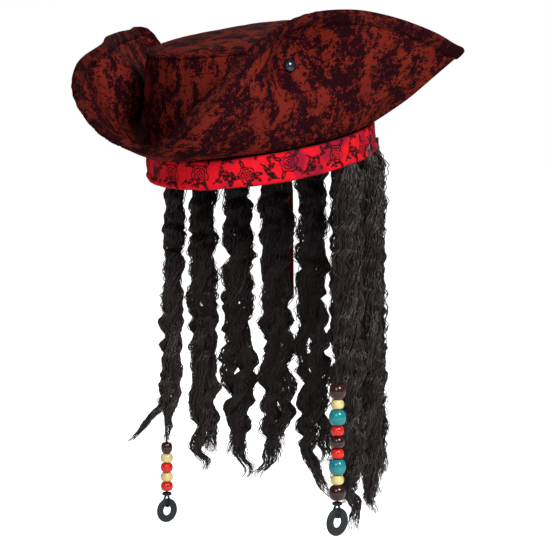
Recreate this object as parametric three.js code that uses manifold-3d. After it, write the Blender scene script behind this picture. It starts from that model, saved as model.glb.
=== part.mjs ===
// Pirate tricorn hat with a printed bandana band, crimped hair locks and two bead strands.
// Millimetres. +Z is up, -Y is the front and +X is the wearer's left. The origin is the centre of
// the head opening. The hat is worn tipped forward, and the hair and beads hang plumb below it.
// Angles round the hat run from the front towards the wearer's left.
import * as THREE from 'three';
import { mergeVertices } from 'three/addons/utils/BufferGeometryUtils.js';
import Module from 'manifold-3d';

const wasm = await Module();
wasm.setup();

// Head opening and the way the hat sits on it
const HEAD_LENGTH = 195; // front to back inside the sweatband
const HEAD_WIDTH = 163; // side to side inside the sweatband
const TIP_FORWARD = 11; // degrees

// Layers of cloth round the head, from the inside out
const GAP = 0.3; // clearance between neighbouring pieces
const SWEATBAND_WALL = 1.2;
const WEFT_WALL = 1.8;
const BAND_WALL = 3.4;
const CROWN_WALL = 2.5;
const SWEATBAND_OUT = SWEATBAND_WALL;
const WEFT_IN = SWEATBAND_OUT + GAP;
const WEFT_OUT = WEFT_IN + WEFT_WALL;
const BAND_IN = WEFT_OUT + GAP;
const BAND_OUT = BAND_IN + BAND_WALL;
const CROWN_IN = SWEATBAND_OUT + GAP;
const CROWN_OUT = CROWN_IN + CROWN_WALL;

// Crown
const CROWN_SEAM_HEIGHT = 74; // where the side panel meets the top panel
const CROWN_DOME = 8; // rise of the top panel above its seam
const CROWN_TAPER = 9; // how far the side panel leans in by its seam
const SWEATBAND_TOP = 14;

// Bandana band and hair tape, measured down from the brim's root
const BAND_BOTTOM = 26.5;
const WEFT_BOTTOM = 25;

// Brim
const BRIM_WALL = 3.5;
const HOLE_EASE = 0.2; // extra room in the brim's hole, since the hole and the crown are faceted
const BRIM_HOLE_OUT = CROWN_OUT + GAP + HOLE_EASE;
const BRIM_ROOT_OUT = BRIM_HOLE_OUT + BRIM_WALL / 2; // where the middle of the board starts
const BINDING_WALL = 0.7;
const BINDING_WIDTH = 8;
// The brim's edge: angle, reach beyond the head opening, height above the root on the wearer's left
// and right, and how many degrees the brim bows out below the straight line from root to edge.
const BRIM_EDGE = [
  [0, 51.5, 16, 16, 26],
  [13, 62.5, 32, 32, 25],
  [25, 63.1, 60, 56, 22],
  [36, 51, 84, 73, 14],
  [49, 36.6, 96, 81, 6],
  [62, 32.7, 100, 84, 8],
  [76, 38.8, 96, 83, 12],
  [92, 54.5, 84, 81, 14],
  [103, 71.9, 68, 78, 12],
  [107, 81.4, 57, 77, 10],
  [109, 85.2, 53, 77, 9],
  [112, 80.7, 53, 75, 10],
  [116, 74, 54, 56, 11],
  [125, 63.1, 55, 30, 12],
  [140, 43.2, 57, 38, 12],
  [160, 21.9, 58, 50, 8],
  [180, 13.5, 58, 58, 5],
];

// Studs that pin the three flaps to the crown
const STUD_ROWS = { left: 4.5, right: -4.5, rear: 16 }; // place along BRIM_EDGE, negative on the right
const STUD_HEIGHT = { left: CROWN_SEAM_HEIGHT - 7, right: CROWN_SEAM_HEIGHT - 30, rear: 36 };
const STUD_DIAMETER = 10.7;
const STUD_DOME = 3;
const STUD_POST = 3;
const STUD_SEAT = 1.3; // stand-off of the flat caps from the curved cloth
const STUD_DIMPLE = 30; // reach of the dimple that a stud pulls into its flap
const WASHER_DIAMETER = 10;
const WASHER_WALL = 1.2;

// Hair
const LOCKS_PER_SIDE = 5;
const FIRST_LOCK_ANGLE = 86;
const LAST_LOCK_ANGLE = 169;
const LOCK_WIDTH = 26;
const LOCK_THICKNESS = 13;
const LOCK_ROOT_THICKNESS = 2;
const LOCK_TIP_SHARE = 0.55; // width and thickness left at the tip
const LOCK_LENGTHS = { right: [226, 275, 290, 296, 314], left: [290, 290, 288, 292, 300] };
const LOCK_SPLAYS = { right: [9, 2, 0, 0, 0], left: [4, 4, 3, 2, 0] }; // outward at the tip
const LOCK_DROP = 1; // clear height between the band's lower edge and a lock

// Bandana knot and tails
const KNOT_ANGLE = -149;
const KNOT_WIDTH = 30;
const KNOT_HEIGHT = 19;
const KNOT_DEPTH = 13;
const TAIL_WALL = 2.4;
const TAILS = {
  long: { width: 27, length: 126, shift: -1, out: LOCK_THICKNESS / 2 - 1.5 },
  short: { width: 24, length: 70, shift: 3, out: LOCK_THICKNESS / 2 + 2.3 },
};

// Bead strands
const CORD_DIAMETER = 1.8;
const BEAD_HOLE = 2.6;
const BEAD_STEP_GAP = 0.4; // space between two beads on the cord
const BEADS = {
  brown_small: { diameter: 9.6, length: 9.2, colour: 0x3a1712 },
  brown: { diameter: 11.5, length: 9.4, colour: 0x3a1712 },
  brown_large: { diameter: 13.3, length: 12, colour: 0x3a1712 },
  cream: { diameter: 10.6, length: 7.6, colour: 0xf0d79a },
  red: { diameter: 10.4, length: 7.8, colour: 0xe02a1c },
  turquoise: { diameter: 13.6, length: 12.4, colour: 0x169a97 },
};
const STRANDS = {
  right: {
    beads: ['brown_small', 'cream', 'red', 'cream', 'red'],
    ring: { diameter: 20.5, hole: 8.5, wall: 3 },
    facing: 74, // direction that the ring's flat side faces
  },
  left: {
    beads: ['brown_large', 'cream', 'turquoise', 'red', 'brown', 'red', 'turquoise', 'cream', 'brown_large'],
    ring: { diameter: 22.5, hole: 9, wall: 3 },
    facing: 76,
  },
};
const LEFT_STRAND_DROP = 159; // from the left lock's root to where the cord leaves the hair
const LEFT_STRAND_OUT = 5; // strand's place beside its lock, out from the head and to the front
const LEFT_STRAND_FRONT = 23;
const STRAND_GAP = 1; // clear height between the right strand and its lock, so that it can swing
const CORD_LEAD = 9; // cord above the first bead
const KNOT_DROP = 3.2; // from the last bead to the middle of the cord's knot
const LOOP_REACH = 4.4; // half the width of the loop that holds a ring
const LOOP_DROP = 13.5; // from the last bead to the bottom of the loop

const COLOURS = {
  cloth: { color: 0x78281a, roughness: 0.95 },
  binding: { color: 0x5a2018, roughness: 0.95 },
  sweatband: { color: 0x1c1414, roughness: 0.9 },
  bandana: { color: 0xd2182a, roughness: 0.85 },
  hair: { color: 0x1c1614, roughness: 0.6 },
  tape: { color: 0x141214, roughness: 0.9 },
  stud: { color: 0x101418, roughness: 0.3, metalness: 0.6 },
  steel: { color: 0x777a7c, roughness: 0.4, metalness: 1 },
  cord: { color: 0x0c0c0c, roughness: 0.8 },
  ring: { color: 0x23282c, roughness: 0.6 },
};

const UP = new THREE.Vector3(0, 0, 1);
const TIP = THREE.MathUtils.degToRad(TIP_FORWARD);
const ROUND_STEPS = 60; // facets round the head

const model = new THREE.Group();
const hat = new THREE.Group(); // everything that tips with the hat
hat.rotation.x = TIP;
model.add(hat);

function add(parent, name, geometry, finish) {
  const mesh = new THREE.Mesh(geometry, new THREE.MeshStandardMaterial(finish));
  mesh.name = name;
  parent.add(mesh);
  return mesh;
}

// Shapes

// A solid through loops of points: closed into a ring, or with a flat fan on each end.
function loft(loops, ring) {
  const count = loops[0].length;
  const points = loops.flat();
  const index = [];
  const spans = ring ? loops.length : loops.length - 1;
  for (let i = 0; i < spans; i++) {
    const here = i * count;
    const next = ((i + 1) % loops.length) * count;
    for (let j = 0; j < count; j++) {
      const k = (j + 1) % count;
      index.push(here + j, next + j, next + k, here + j, next + k, here + k);
    }
  }
  if (!ring) {
    for (const [loop, start, turn] of [[loops[0], 0, 1], [loops.at(-1), (loops.length - 1) * count, -1]]) {
      const middle = loop.reduce((sum, p) => sum.add(p), new THREE.Vector3()).divideScalar(count);
      for (let j = 0; j < count; j++) {
        const pair = [start + j, start + ((j + 1) % count)];
        index.push(points.length, ...(turn > 0 ? pair : pair.reverse()));
      }
      points.push(middle);
    }
  }
  const geometry = new THREE.BufferGeometry().setFromPoints(points);
  if (signedVolume(points, index) < 0) index.reverse();
  geometry.setIndex(index);
  geometry.computeVertexNormals();
  return geometry;
}

function signedVolume(points, index) {
  let sum = 0;
  for (let i = 0; i < index.length; i += 3) {
    const [a, b, c] = [points[index[i]], points[index[i + 1]], points[index[i + 2]]];
    sum += a.dot(new THREE.Vector3().crossVectors(b, c));
  }
  return sum;
}

// A turned solid about Z from a closed profile of [radius, height] points.
function turned(profile, sides) {
  const outline = profile.map(([radius, height]) => new THREE.Vector2(radius, height));
  return new THREE.LatheGeometry(outline, sides).rotateX(Math.PI / 2);
}

function toManifold(geometry) {
  const bare = geometry.clone();
  bare.deleteAttribute('normal');
  bare.deleteAttribute('uv');
  const merged = mergeVertices(bare, 1e-4);
  return new wasm.Manifold(new wasm.Mesh({
    numProp: 3,
    vertProperties: merged.attributes.position.array,
    triVerts: Uint32Array.from(merged.index.array),
  }));
}

function cutFrom(geometry, cutters) {
  const cut = cutters.reduce((solid, cutter) => solid.subtract(toManifold(cutter)), toManifold(geometry));
  const mesh = cut.getMesh();
  const result = new THREE.BufferGeometry();
  result.setAttribute('position', new THREE.BufferAttribute(mesh.vertProperties, 3));
  result.setIndex(new THREE.BufferAttribute(mesh.triVerts, 1));
  result.computeVertexNormals();
  return result;
}

// The matrix that stands a piece made about Z at a point, with its Z along an axis.
function standing(point, axis) {
  const turn = new THREE.Quaternion().setFromUnitVectors(UP, axis);
  return new THREE.Matrix4().compose(point, turn, new THREE.Vector3(1, 1, 1));
}

// Ovals round the head

function ovalPoint(angle, out, height) {
  const turn = THREE.MathUtils.degToRad(angle);
  const x = (HEAD_WIDTH / 2 + out) * Math.sin(turn);
  const y = -(HEAD_LENGTH / 2 + out) * Math.cos(turn);
  return new THREE.Vector3(x, y, height);
}

function ovalNormal(angle, out) {
  const turn = THREE.MathUtils.degToRad(angle);
  const across = (HEAD_LENGTH / 2 + out) * Math.sin(turn);
  const along = -(HEAD_WIDTH / 2 + out) * Math.cos(turn);
  return new THREE.Vector3(across, along, 0).normalize();
}

// Distance from the centre to the oval that lies `out` beyond the head opening, seen at a true angle.
function ovalReach(angle, out) {
  const turn = THREE.MathUtils.degToRad(angle);
  const across = Math.sin(turn) / (HEAD_WIDTH / 2 + out);
  const along = Math.cos(turn) / (HEAD_LENGTH / 2 + out);
  return 1 / Math.hypot(across, along);
}

// A wall of cloth round the head from a profile of [out, height], whole or over an arc.
function clothWall(profile, steps, from = 0, to = 360) {
  const whole = to - from === 360;
  const loops = [];
  for (let i = 0; i < (whole ? steps : steps + 1); i++) {
    const angle = from + ((to - from) * i) / steps;
    loops.push(profile.map(([out, height]) => ovalPoint(angle, out, height)));
  }
  return loft(loops, whole);
}

// Crown

// The side panel stands straight round the sweatband and leans in above it.
function crownOut(height) {
  const share = Math.max(0, (height - SWEATBAND_TOP) / (CROWN_SEAM_HEIGHT - SWEATBAND_TOP));
  return CROWN_OUT - CROWN_TAPER * share ** 2;
}

function makeCrownSide(cutters) {
  const rest = CROWN_SEAM_HEIGHT - SWEATBAND_TOP;
  const heights = [-BRIM_WALL / 2, ...[0, 0.4, 0.75, 1].map((share) => SWEATBAND_TOP + share * rest)];
  const outside = heights.map((h) => [crownOut(h), h]);
  const inside = heights.map((h) => [crownOut(h) - CROWN_WALL, h]).reverse();
  const wall = clothWall([...outside, ...inside], ROUND_STEPS);
  add(hat, 'crown_side_panel', cutFrom(wall, cutters), COLOURS.cloth);
}

// A shallow dome whose flat rim sits on the side panel's upper edge.
function makeCrownTop() {
  const rimOut = crownOut(CROWN_SEAM_HEIGHT);
  const base = CROWN_SEAM_HEIGHT + GAP;
  const shares = [0.12, 0.4, 0.65, 0.82, 0.93, 1];
  const ring = (share, out, lift) => {
    const loop = [];
    const rise = CROWN_DOME * (1 - share ** 2.6) ** 0.75;
    for (let i = 0; i < ROUND_STEPS; i++) {
      const p = ovalPoint((360 * i) / ROUND_STEPS, out, 0);
      loop.push(new THREE.Vector3(p.x * share, p.y * share, base + rise + lift));
    }
    return loop;
  };
  const outer = shares.map((share) => ring(share, rimOut, 0));
  const inner = shares.slice(0, -1).map((share) => ring(share, rimOut - CROWN_WALL, -CROWN_WALL));
  const seat = ring(1, rimOut - CROWN_WALL, 0);
  add(hat, 'crown_top_panel', loft([...inner, seat, ...outer.reverse()], false), COLOURS.cloth);
}

function makeSweatband() {
  const [bottom, top] = [-WEFT_BOTTOM, SWEATBAND_TOP];
  const profile = [[0, bottom], [SWEATBAND_OUT, bottom], [SWEATBAND_OUT, top], [0, top]];
  add(hat, 'sweatband', clothWall(profile, ROUND_STEPS), COLOURS.sweatband);
}

// Brim

const edgeRows = [
  ...BRIM_EDGE.map(([angle, beyond, left, , bow]) => [angle, beyond, left, bow]),
  ...BRIM_EDGE.slice(1, -1).reverse().map(([angle, beyond, , right, bow]) => [-angle, beyond, right, bow]),
];
const edgeCurve = new THREE.CatmullRomCurve3(edgeRows.map(([angle, beyond, height]) => {
  const turn = THREE.MathUtils.degToRad(angle);
  const reach = ovalReach(angle, 0) + beyond;
  return new THREE.Vector3(reach * Math.sin(turn), -reach * Math.cos(turn), height);
}), true, 'centripetal');

function edgeBow(t) {
  const place = t * edgeRows.length;
  const row = Math.floor(place) % edgeRows.length;
  const share = THREE.MathUtils.smoothstep(place % 1, 0, 1);
  return THREE.MathUtils.lerp(edgeRows[row][3], edgeRows[(row + 1) % edgeRows.length][3], share);
}

// The brim's middle surface before the studs pull it in: t runs round the edge, s from root to edge.
function brimBase(around, s) {
  const t = THREE.MathUtils.euclideanModulo(around, 1);
  const edge = edgeCurve.getPoint(t);
  const angle = THREE.MathUtils.radToDeg(Math.atan2(edge.x, -edge.y));
  const outward = new THREE.Vector3(edge.x, edge.y, 0).normalize();
  const root = outward.clone().multiplyScalar(ovalReach(angle, BRIM_ROOT_OUT));
  const chord = edge.clone().sub(root);
  const slope = Math.atan2(chord.z, chord.dot(outward));
  const bow = THREE.MathUtils.degToRad(edgeBow(t));
  const handle = (turn) => outward.clone().multiplyScalar(Math.cos(turn))
    .addScaledVector(UP, Math.sin(turn)).multiplyScalar(chord.length() / 3);
  const p1 = root.clone().add(handle(slope - bow));
  const p2 = edge.clone().sub(handle(slope + bow * 0.6));
  return new THREE.CubicBezierCurve3(root, p1, p2, edge).getPoint(s);
}

// Where each stud sits on the brim, the crown's normal there, and how far it pulls the flap in.
const studs = Object.entries(STUD_ROWS).map(([side, row]) => {
  const t = THREE.MathUtils.euclideanModulo(row, edgeRows.length) / edgeRows.length;
  let [low, high] = [0, 1];
  while (high - low > 1e-4) {
    const s = (low + high) / 2;
    if (brimBase(t, s).z < STUD_HEIGHT[side]) low = s;
    else high = s;
  }
  const base = brimBase(t, low);
  const out = crownOut(base.z);
  const around = Math.atan2(base.x / (HEAD_WIDTH / 2 + out), -base.y / (HEAD_LENGTH / 2 + out));
  const angle = THREE.MathUtils.radToDeg(around);
  const lean = Math.atan(crownOut(base.z - 0.5) - crownOut(base.z + 0.5));
  const normal = ovalNormal(angle, out).multiplyScalar(Math.cos(lean)).addScaledVector(UP, Math.sin(lean));
  const seat = ovalPoint(angle, out, base.z).addScaledVector(normal, GAP + BRIM_WALL / 2);
  return { side, t, s: low, base, normal, seat };
});

// Each stud draws the cloth round it towards the flat place where it is pinned to the crown.
function brimPoint(t, s) {
  const point = brimBase(t, s);
  for (const { base, normal, seat } of studs) {
    const share = Math.exp(-((point.distanceTo(base) / STUD_DIMPLE) ** 3));
    const lift = point.clone().sub(seat).dot(normal);
    point.addScaledVector(normal, -lift * share);
  }
  return point;
}

// Unit directions on the brim: across it towards the edge, and out of its lower face.
function brimFrame(t, s) {
  const step = 1e-3;
  const low = Math.min(s, 1 - step);
  const across = brimPoint(t, low + step).sub(brimPoint(t, low)).normalize();
  const along = brimPoint(t + step, s).sub(brimPoint(t - step, s)).normalize();
  return { across, below: new THREE.Vector3().crossVectors(across, along).negate().normalize() };
}

// Moves a point level to the wall of the brim's hole, which fits round the crown.
function ontoHole(point) {
  const angle = THREE.MathUtils.radToDeg(Math.atan2(point.x, -point.y));
  const reach = ovalReach(angle, BRIM_HOLE_OUT);
  const level = Math.hypot(point.x, point.y);
  return new THREE.Vector3((point.x * reach) / level, (point.y * reach) / level, point.z);
}

const EDGE_STEPS = 3 * edgeRows.length;

// Where across the brim the binding's inner edge lies.
function bindingStart(t) {
  return 1 - (0.1 * BINDING_WIDTH) / brimPoint(t, 1).distanceTo(brimPoint(t, 0.9));
}

function makeBrim(cutters) {
  const loops = [];
  for (let i = 0; i < EDGE_STEPS; i++) {
    const t = i / EDGE_STEPS;
    const places = [0, 0.12, 0.3, 0.48, 0.61, 0.71, 0.81, bindingStart(t), 1];
    const face = (side) => places.map((s) => {
      const point = brimPoint(t, s).addScaledVector(brimFrame(t, s).below, (side * BRIM_WALL) / 2);
      return s ? point : ontoHole(point);
    });
    loops.push([...face(1), ...face(-1).reverse()]);
  }
  add(hat, 'brim', cutFrom(loft(loops, true), cutters), COLOURS.cloth);
}

// A folded strip that wraps the brim's edge with the gap all round.
function makeBinding() {
  const near = BRIM_WALL / 2 + GAP;
  const far = near + BINDING_WALL;
  const profile = [
    [-BINDING_WIDTH, near], [GAP, near], [GAP, -near], [-BINDING_WIDTH, -near],
    [-BINDING_WIDTH, -far], [0, -far], [GAP + BINDING_WALL, -far / 2], [GAP + BINDING_WALL, far / 2],
    [0, far], [-BINDING_WIDTH, far],
  ];
  const loops = [];
  for (let i = 0; i < EDGE_STEPS; i++) {
    const t = i / EDGE_STEPS;
    loops.push(profile.map(([across, below]) => {
      const s = across < 0 ? bindingStart(t) : 1;
      const frame = brimFrame(t, s);
      const point = brimPoint(t, s).addScaledVector(frame.across, Math.max(0, across));
      return point.addScaledVector(frame.below, below);
    }));
  }
  add(hat, 'brim_binding', loft(loops, true), COLOURS.binding);
}

// Studs: a domed cap whose post runs through the flap and the crown into a washer.
function studParts({ side, t, s, normal }) {
  const face = brimPoint(t, s).addScaledVector(normal, BRIM_WALL / 2);
  const place = standing(face, normal);
  const reach = BRIM_WALL + GAP + CROWN_WALL + STUD_SEAT + WASHER_WALL;
  const [bore, over] = [STUD_POST / 2 + GAP, 4];
  const cutter = turned([[0, over], [0, -over - reach], [bore, -over - reach], [bore, over], [0, over]], 12);
  return { side, place, reach, cutter: cutter.applyMatrix4(place) };
}

function makeStud({ side, place, reach }) {
  const cap = [
    [0, -reach], [STUD_POST / 2, -reach], [STUD_POST / 2, STUD_SEAT], [STUD_DIAMETER / 2, STUD_SEAT],
    [STUD_DIAMETER / 2, STUD_SEAT + STUD_DOME * 0.35], [STUD_DIAMETER * 0.38, STUD_SEAT + STUD_DOME * 0.75],
    [STUD_DIAMETER * 0.2, STUD_SEAT + STUD_DOME * 0.95], [0, STUD_SEAT + STUD_DOME],
  ];
  add(hat, `stud_cap_${side}`, turned(cap, 20).applyMatrix4(place), COLOURS.stud);
  const bore = STUD_POST / 2 + GAP;
  const [top, bottom] = [WASHER_WALL - reach, -reach];
  const washer = [
    [bore, bottom], [WASHER_DIAMETER / 2, bottom], [WASHER_DIAMETER / 2, top], [bore, top], [bore, bottom],
  ];
  add(hat, `stud_washer_${side}`, turned(washer, 20).applyMatrix4(place), COLOURS.steel);
}

// Bandana

const BAND_TOP = BRIM_WALL / 2 + 1.6; // the brim dips a little beyond its root
function makeBand() {
  const profile = [
    [BAND_IN, -BAND_TOP], [BAND_OUT - 0.8, -BAND_TOP - 0.4], [BAND_OUT, -BAND_TOP - 3],
    [BAND_OUT + 0.3, -(BAND_TOP + BAND_BOTTOM) / 2], [BAND_OUT, 3.5 - BAND_BOTTOM],
    [BAND_OUT - 1.2, 0.6 - BAND_BOTTOM], [BAND_IN + 0.8, -BAND_BOTTOM], [BAND_IN, 1 - BAND_BOTTOM],
  ];
  add(hat, 'bandana_band', clothWall(profile, ROUND_STEPS), COLOURS.bandana);
}

function makeKnot() {
  const out = BAND_OUT + 0.3 + GAP;
  const middle = ovalPoint(KNOT_ANGLE, out, -(BAND_TOP + BAND_BOTTOM) / 2);
  const normal = ovalNormal(KNOT_ANGLE, out);
  middle.addScaledVector(normal, KNOT_DEPTH / 2);
  const knot = new THREE.SphereGeometry(0.5, 14, 10).scale(KNOT_WIDTH, KNOT_DEPTH, KNOT_HEIGHT);
  knot.rotateZ(Math.atan2(normal.y, normal.x) - Math.PI / 2);
  knot.translate(middle.x, middle.y, middle.z);
  add(hat, 'bandana_knot', knot, COLOURS.bandana);
}

function plumb(point) {
  return point.clone().applyAxisAngle(new THREE.Vector3(1, 0, 0), TIP);
}

// A flat strip of cloth that hangs plumb from under the knot.
function makeTail(name, { width, length, shift, out }) {
  const normal = ovalNormal(KNOT_ANGLE, BAND_OUT);
  const along = new THREE.Vector3().crossVectors(UP, normal);
  const top = plumb(ovalPoint(KNOT_ANGLE, BAND_OUT, -BAND_BOTTOM)).addScaledVector(normal, out);
  top.z -= LOCK_DROP;
  const loops = [];
  for (let i = 0; i <= 8; i++) {
    const share = i / 8;
    const half = (width / 2) * (0.62 + 0.38 * Math.min(1, share * 3));
    const middle = top.clone().addScaledVector(along, shift * share).addScaledVector(UP, -length * share);
    loops.push([[-1, -1], [1, -1], [1, 1], [-1, 1]].map(([a, b]) => {
      return middle.clone().addScaledVector(along, a * half).addScaledVector(normal, (b * TAIL_WALL) / 2);
    }));
  }
  add(model, `bandana_tail_${name}`, loft(loops, false), COLOURS.bandana);
}

// Hair

function makeWeft() {
  const spread = FIRST_LOCK_ANGLE - 10;
  const [bottom, top] = [-WEFT_BOTTOM, -BAND_TOP];
  const profile = [[WEFT_IN, bottom], [WEFT_OUT, bottom], [WEFT_OUT, top], [WEFT_IN, top]];
  add(hat, 'hair_weft', clothWall(profile, 48, spread, 360 - spread), COLOURS.tape);
}

function lockAngle(side, number) {
  const step = (LAST_LOCK_ANGLE - FIRST_LOCK_ANGLE) / (LOCKS_PER_SIDE - 1);
  return (side === 'left' ? 1 : -1) * (FIRST_LOCK_ANGLE + step * (number - 1));
}

// A lock's root under the band, with the level direction out from the head and the band's own tangent.
function lockRoot(side, number) {
  const angle = lockAngle(side, number);
  const out = (WEFT_IN + BAND_OUT) / 2;
  const root = plumb(ovalPoint(angle, out, -BAND_BOTTOM));
  root.z -= LOCK_DROP;
  const normal = ovalNormal(angle, out);
  const tangent = plumb(new THREE.Vector3().crossVectors(UP, normal));
  return { root, normal, tangent };
}

// A plain tapered lock, thin at its root, whose top follows the band's tilt and whose tip is level.
function makeLock(side, number) {
  const { root, normal, tangent } = lockRoot(side, number);
  const length = LOCK_LENGTHS[side][number - 1];
  const splay = LOCK_SPLAYS[side][number - 1];
  const flat = new THREE.Vector3().crossVectors(UP, normal);
  const steps = 16;
  const loops = [];
  for (let i = 0; i <= steps; i++) {
    const share = i / steps;
    const full = THREE.MathUtils.lerp(1, LOCK_TIP_SHARE, share);
    const swell = Math.min(1, share * 5);
    const thick = THREE.MathUtils.lerp(LOCK_ROOT_THICKNESS, LOCK_THICKNESS * full, swell);
    const wide = LOCK_WIDTH * full * (0.85 + 0.15 * swell);
    const across = tangent.clone().lerp(flat, swell);
    const middle = root.clone().addScaledVector(UP, -length * share);
    middle.addScaledVector(normal, splay * share ** 2);
    const loop = [];
    for (let j = 0; j < 8; j++) {
      const turn = ((j + 0.5) / 8) * 2 * Math.PI;
      loop.push(middle.clone().addScaledVector(across, (wide / 2) * Math.cos(turn))
        .addScaledVector(normal, (thick / 2) * Math.sin(turn)));
    }
    loops.push(loop);
  }
  add(model, `hair_lock_${side}_${number}`, loft(loops, false), COLOURS.hair);
}

// Bead strands

// A barrel bead about Z with a straight hole.
function beadShape({ diameter, length }) {
  const [hole, radius, half] = [BEAD_HOLE / 2 + CORD_DIAMETER / 2 - 0.3, diameter / 2, length / 2];
  return turned([
    [hole, -half], [radius * 0.62, -half], [radius * 0.93, -half * 0.6], [radius, 0],
    [radius * 0.93, half * 0.6], [radius * 0.62, half], [hole, half], [hole, -half],
  ], 14);
}

// Where a strand's cord leaves the hair and where its first bead hangs.
function strandTop(side) {
  const { root, normal } = lockRoot(side, 1);
  if (side === 'right') {
    const exit = root.clone().addScaledVector(UP, -LOCK_LENGTHS.right[0] - STRAND_GAP);
    exit.addScaledVector(normal, LOCK_SPLAYS.right[0]);
    return { exit, bead: exit.clone().addScaledVector(UP, -CORD_LEAD) };
  }
  const exit = root.clone().addScaledVector(UP, -LEFT_STRAND_DROP);
  exit.addScaledVector(normal, LEFT_STRAND_OUT - 3).y -= LEFT_STRAND_FRONT - 3;
  const bead = exit.clone().addScaledVector(UP, -CORD_LEAD).addScaledVector(normal, 3);
  bead.y -= 3;
  return { exit, bead };
}

function makeStrand(side) {
  const { beads, ring, facing } = STRANDS[side];
  const { exit, bead: start } = strandTop(side);
  const turn = THREE.MathUtils.degToRad(facing);
  const face = new THREE.Vector3(Math.sin(turn), -Math.cos(turn), 0);
  let depth = 0;
  beads.forEach((kind, i) => {
    const { length, colour } = BEADS[kind];
    const middle = start.clone().addScaledVector(UP, -depth - length / 2);
    const shape = beadShape(BEADS[kind]).translate(middle.x, middle.y, middle.z);
    add(model, `bead_${side}_${i + 1}`, shape, { color: colour, roughness: 0.25 });
    depth += length + BEAD_STEP_GAP;
  });
  const end = start.clone().addScaledVector(UP, -depth);
  makeCord(side, exit, start, end, face);
  makeRing(side, ring, end, face);
}

// The cord runs down through the beads, through its knot, round through the ring and back to the knot.
function makeCord(side, exit, start, end, face) {
  const route = [exit, exit.clone().lerp(start, 0.5), start];
  const rows = Math.round(start.distanceTo(end) / 8);
  for (let i = 1; i <= rows; i++) route.push(start.clone().lerp(end, i / rows));
  const loop = [
    [-1.05, KNOT_DROP], [-LOOP_REACH * 0.8, KNOT_DROP + 3.4], [-LOOP_REACH, LOOP_DROP - 4],
    [-LOOP_REACH * 0.66, LOOP_DROP - 1.1], [0, LOOP_DROP], [LOOP_REACH * 0.66, LOOP_DROP - 1.1],
    [LOOP_REACH, LOOP_DROP - 4], [LOOP_REACH * 0.8, KNOT_DROP + 3.4], [1.05, KNOT_DROP],
    [1.05, KNOT_DROP - 1.6],
  ];
  for (const [aside, drop] of loop) {
    route.push(end.clone().addScaledVector(face, aside).addScaledVector(UP, -drop));
  }
  const path = new THREE.CatmullRomCurve3(route, false, 'centripetal');
  const section = new THREE.Shape().absarc(0, 0, CORD_DIAMETER / 2, 0, 2 * Math.PI, false);
  const steps = Math.min(80, Math.round(path.getLength() / 2.6));
  const sweep = { steps, curveSegments: 4, bevelEnabled: false, extrudePath: path };
  const cord = new THREE.ExtrudeGeometry(section, sweep);
  add(model, `bead_cord_${side}`, cord, COLOURS.cord);
  const inner = CORD_DIAMETER + GAP + 0.5;
  const knot = [
    [inner, -1], [inner + 1.1, -0.9], [inner + 1.5, 0], [inner + 1.1, 0.9], [inner, 1], [inner, -1],
  ];
  const place = end.clone().addScaledVector(UP, -KNOT_DROP + 1);
  add(model, `cord_knot_${side}`, turned(knot, 14).translate(place.x, place.y, place.z), COLOURS.cord);
}

// A flat ring that hangs in the cord's loop: the cord passes through its hole.
function makeRing(side, { diameter, hole, wall }, end, face) {
  const [outer, inner] = [diameter / 2, hole / 2];
  const shape = turned([
    [inner, -wall * 0.3], [inner + 1, -wall / 2], [outer - 0.8, -wall / 2], [outer, -wall * 0.25],
    [outer, wall * 0.25], [outer - 0.8, wall / 2], [inner + 1, wall / 2], [inner, wall * 0.3],
    [inner, -wall * 0.3],
  ], 24);
  const cordInside = end.clone().addScaledVector(UP, -LOOP_DROP);
  const middle = cordInside.addScaledVector(UP, CORD_DIAMETER / 2 + GAP - inner);
  add(model, `ring_${side}`, shape.applyMatrix4(standing(middle, face)), COLOURS.ring);
}

// Assembly
const studPieces = studs.map(studParts);
const studHoles = studPieces.map(({ cutter }) => cutter);
makeCrownSide(studHoles);
makeCrownTop();
makeSweatband();
makeBrim(studHoles);
makeBinding();
studPieces.forEach(makeStud);
makeBand();
makeKnot();
Object.entries(TAILS).forEach(([name, sizes]) => makeTail(name, sizes));
makeWeft();
for (const side of ['right', 'left']) {
  for (let number = 1; number <= LOCKS_PER_SIDE; number++) makeLock(side, number);
  makeStrand(side);
}

export default model;
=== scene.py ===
import math

import bmesh
import bpy
import numpy as np
from mathutils import Matrix, Vector, noise


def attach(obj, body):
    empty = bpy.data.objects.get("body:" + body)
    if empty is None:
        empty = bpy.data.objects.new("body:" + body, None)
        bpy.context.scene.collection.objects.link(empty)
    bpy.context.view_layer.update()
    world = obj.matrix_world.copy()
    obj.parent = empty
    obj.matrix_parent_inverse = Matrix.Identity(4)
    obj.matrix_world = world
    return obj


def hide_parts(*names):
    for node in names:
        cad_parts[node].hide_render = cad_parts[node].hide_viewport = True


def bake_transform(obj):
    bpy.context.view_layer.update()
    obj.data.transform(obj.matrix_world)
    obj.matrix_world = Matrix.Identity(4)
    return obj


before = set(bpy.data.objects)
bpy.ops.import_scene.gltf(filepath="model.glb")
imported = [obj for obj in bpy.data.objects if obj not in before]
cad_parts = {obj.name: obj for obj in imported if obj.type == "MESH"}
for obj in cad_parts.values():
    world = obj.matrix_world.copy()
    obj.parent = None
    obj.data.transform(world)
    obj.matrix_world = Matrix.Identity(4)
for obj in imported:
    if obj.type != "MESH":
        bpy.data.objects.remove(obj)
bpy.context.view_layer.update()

# ---------------------------------------------------------------------------
# Camera, floor and light
# The hat hangs in front of a plain pale floor in soft studio light, seen from the wearer's left
# front, a little above the level of the brim.
MM = 0.001
scene = bpy.context.scene
scene.view_settings.view_transform = "Standard"


def linear(code):
    """An sRGB hex colour as linear RGBA."""
    values = [int(code[i:i + 2], 16) / 255 for i in (0, 2, 4)]
    return [v / 12.92 if v <= 0.04045 else ((v + 0.055) / 1.055) ** 2.4 for v in values] + [1.0]


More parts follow.
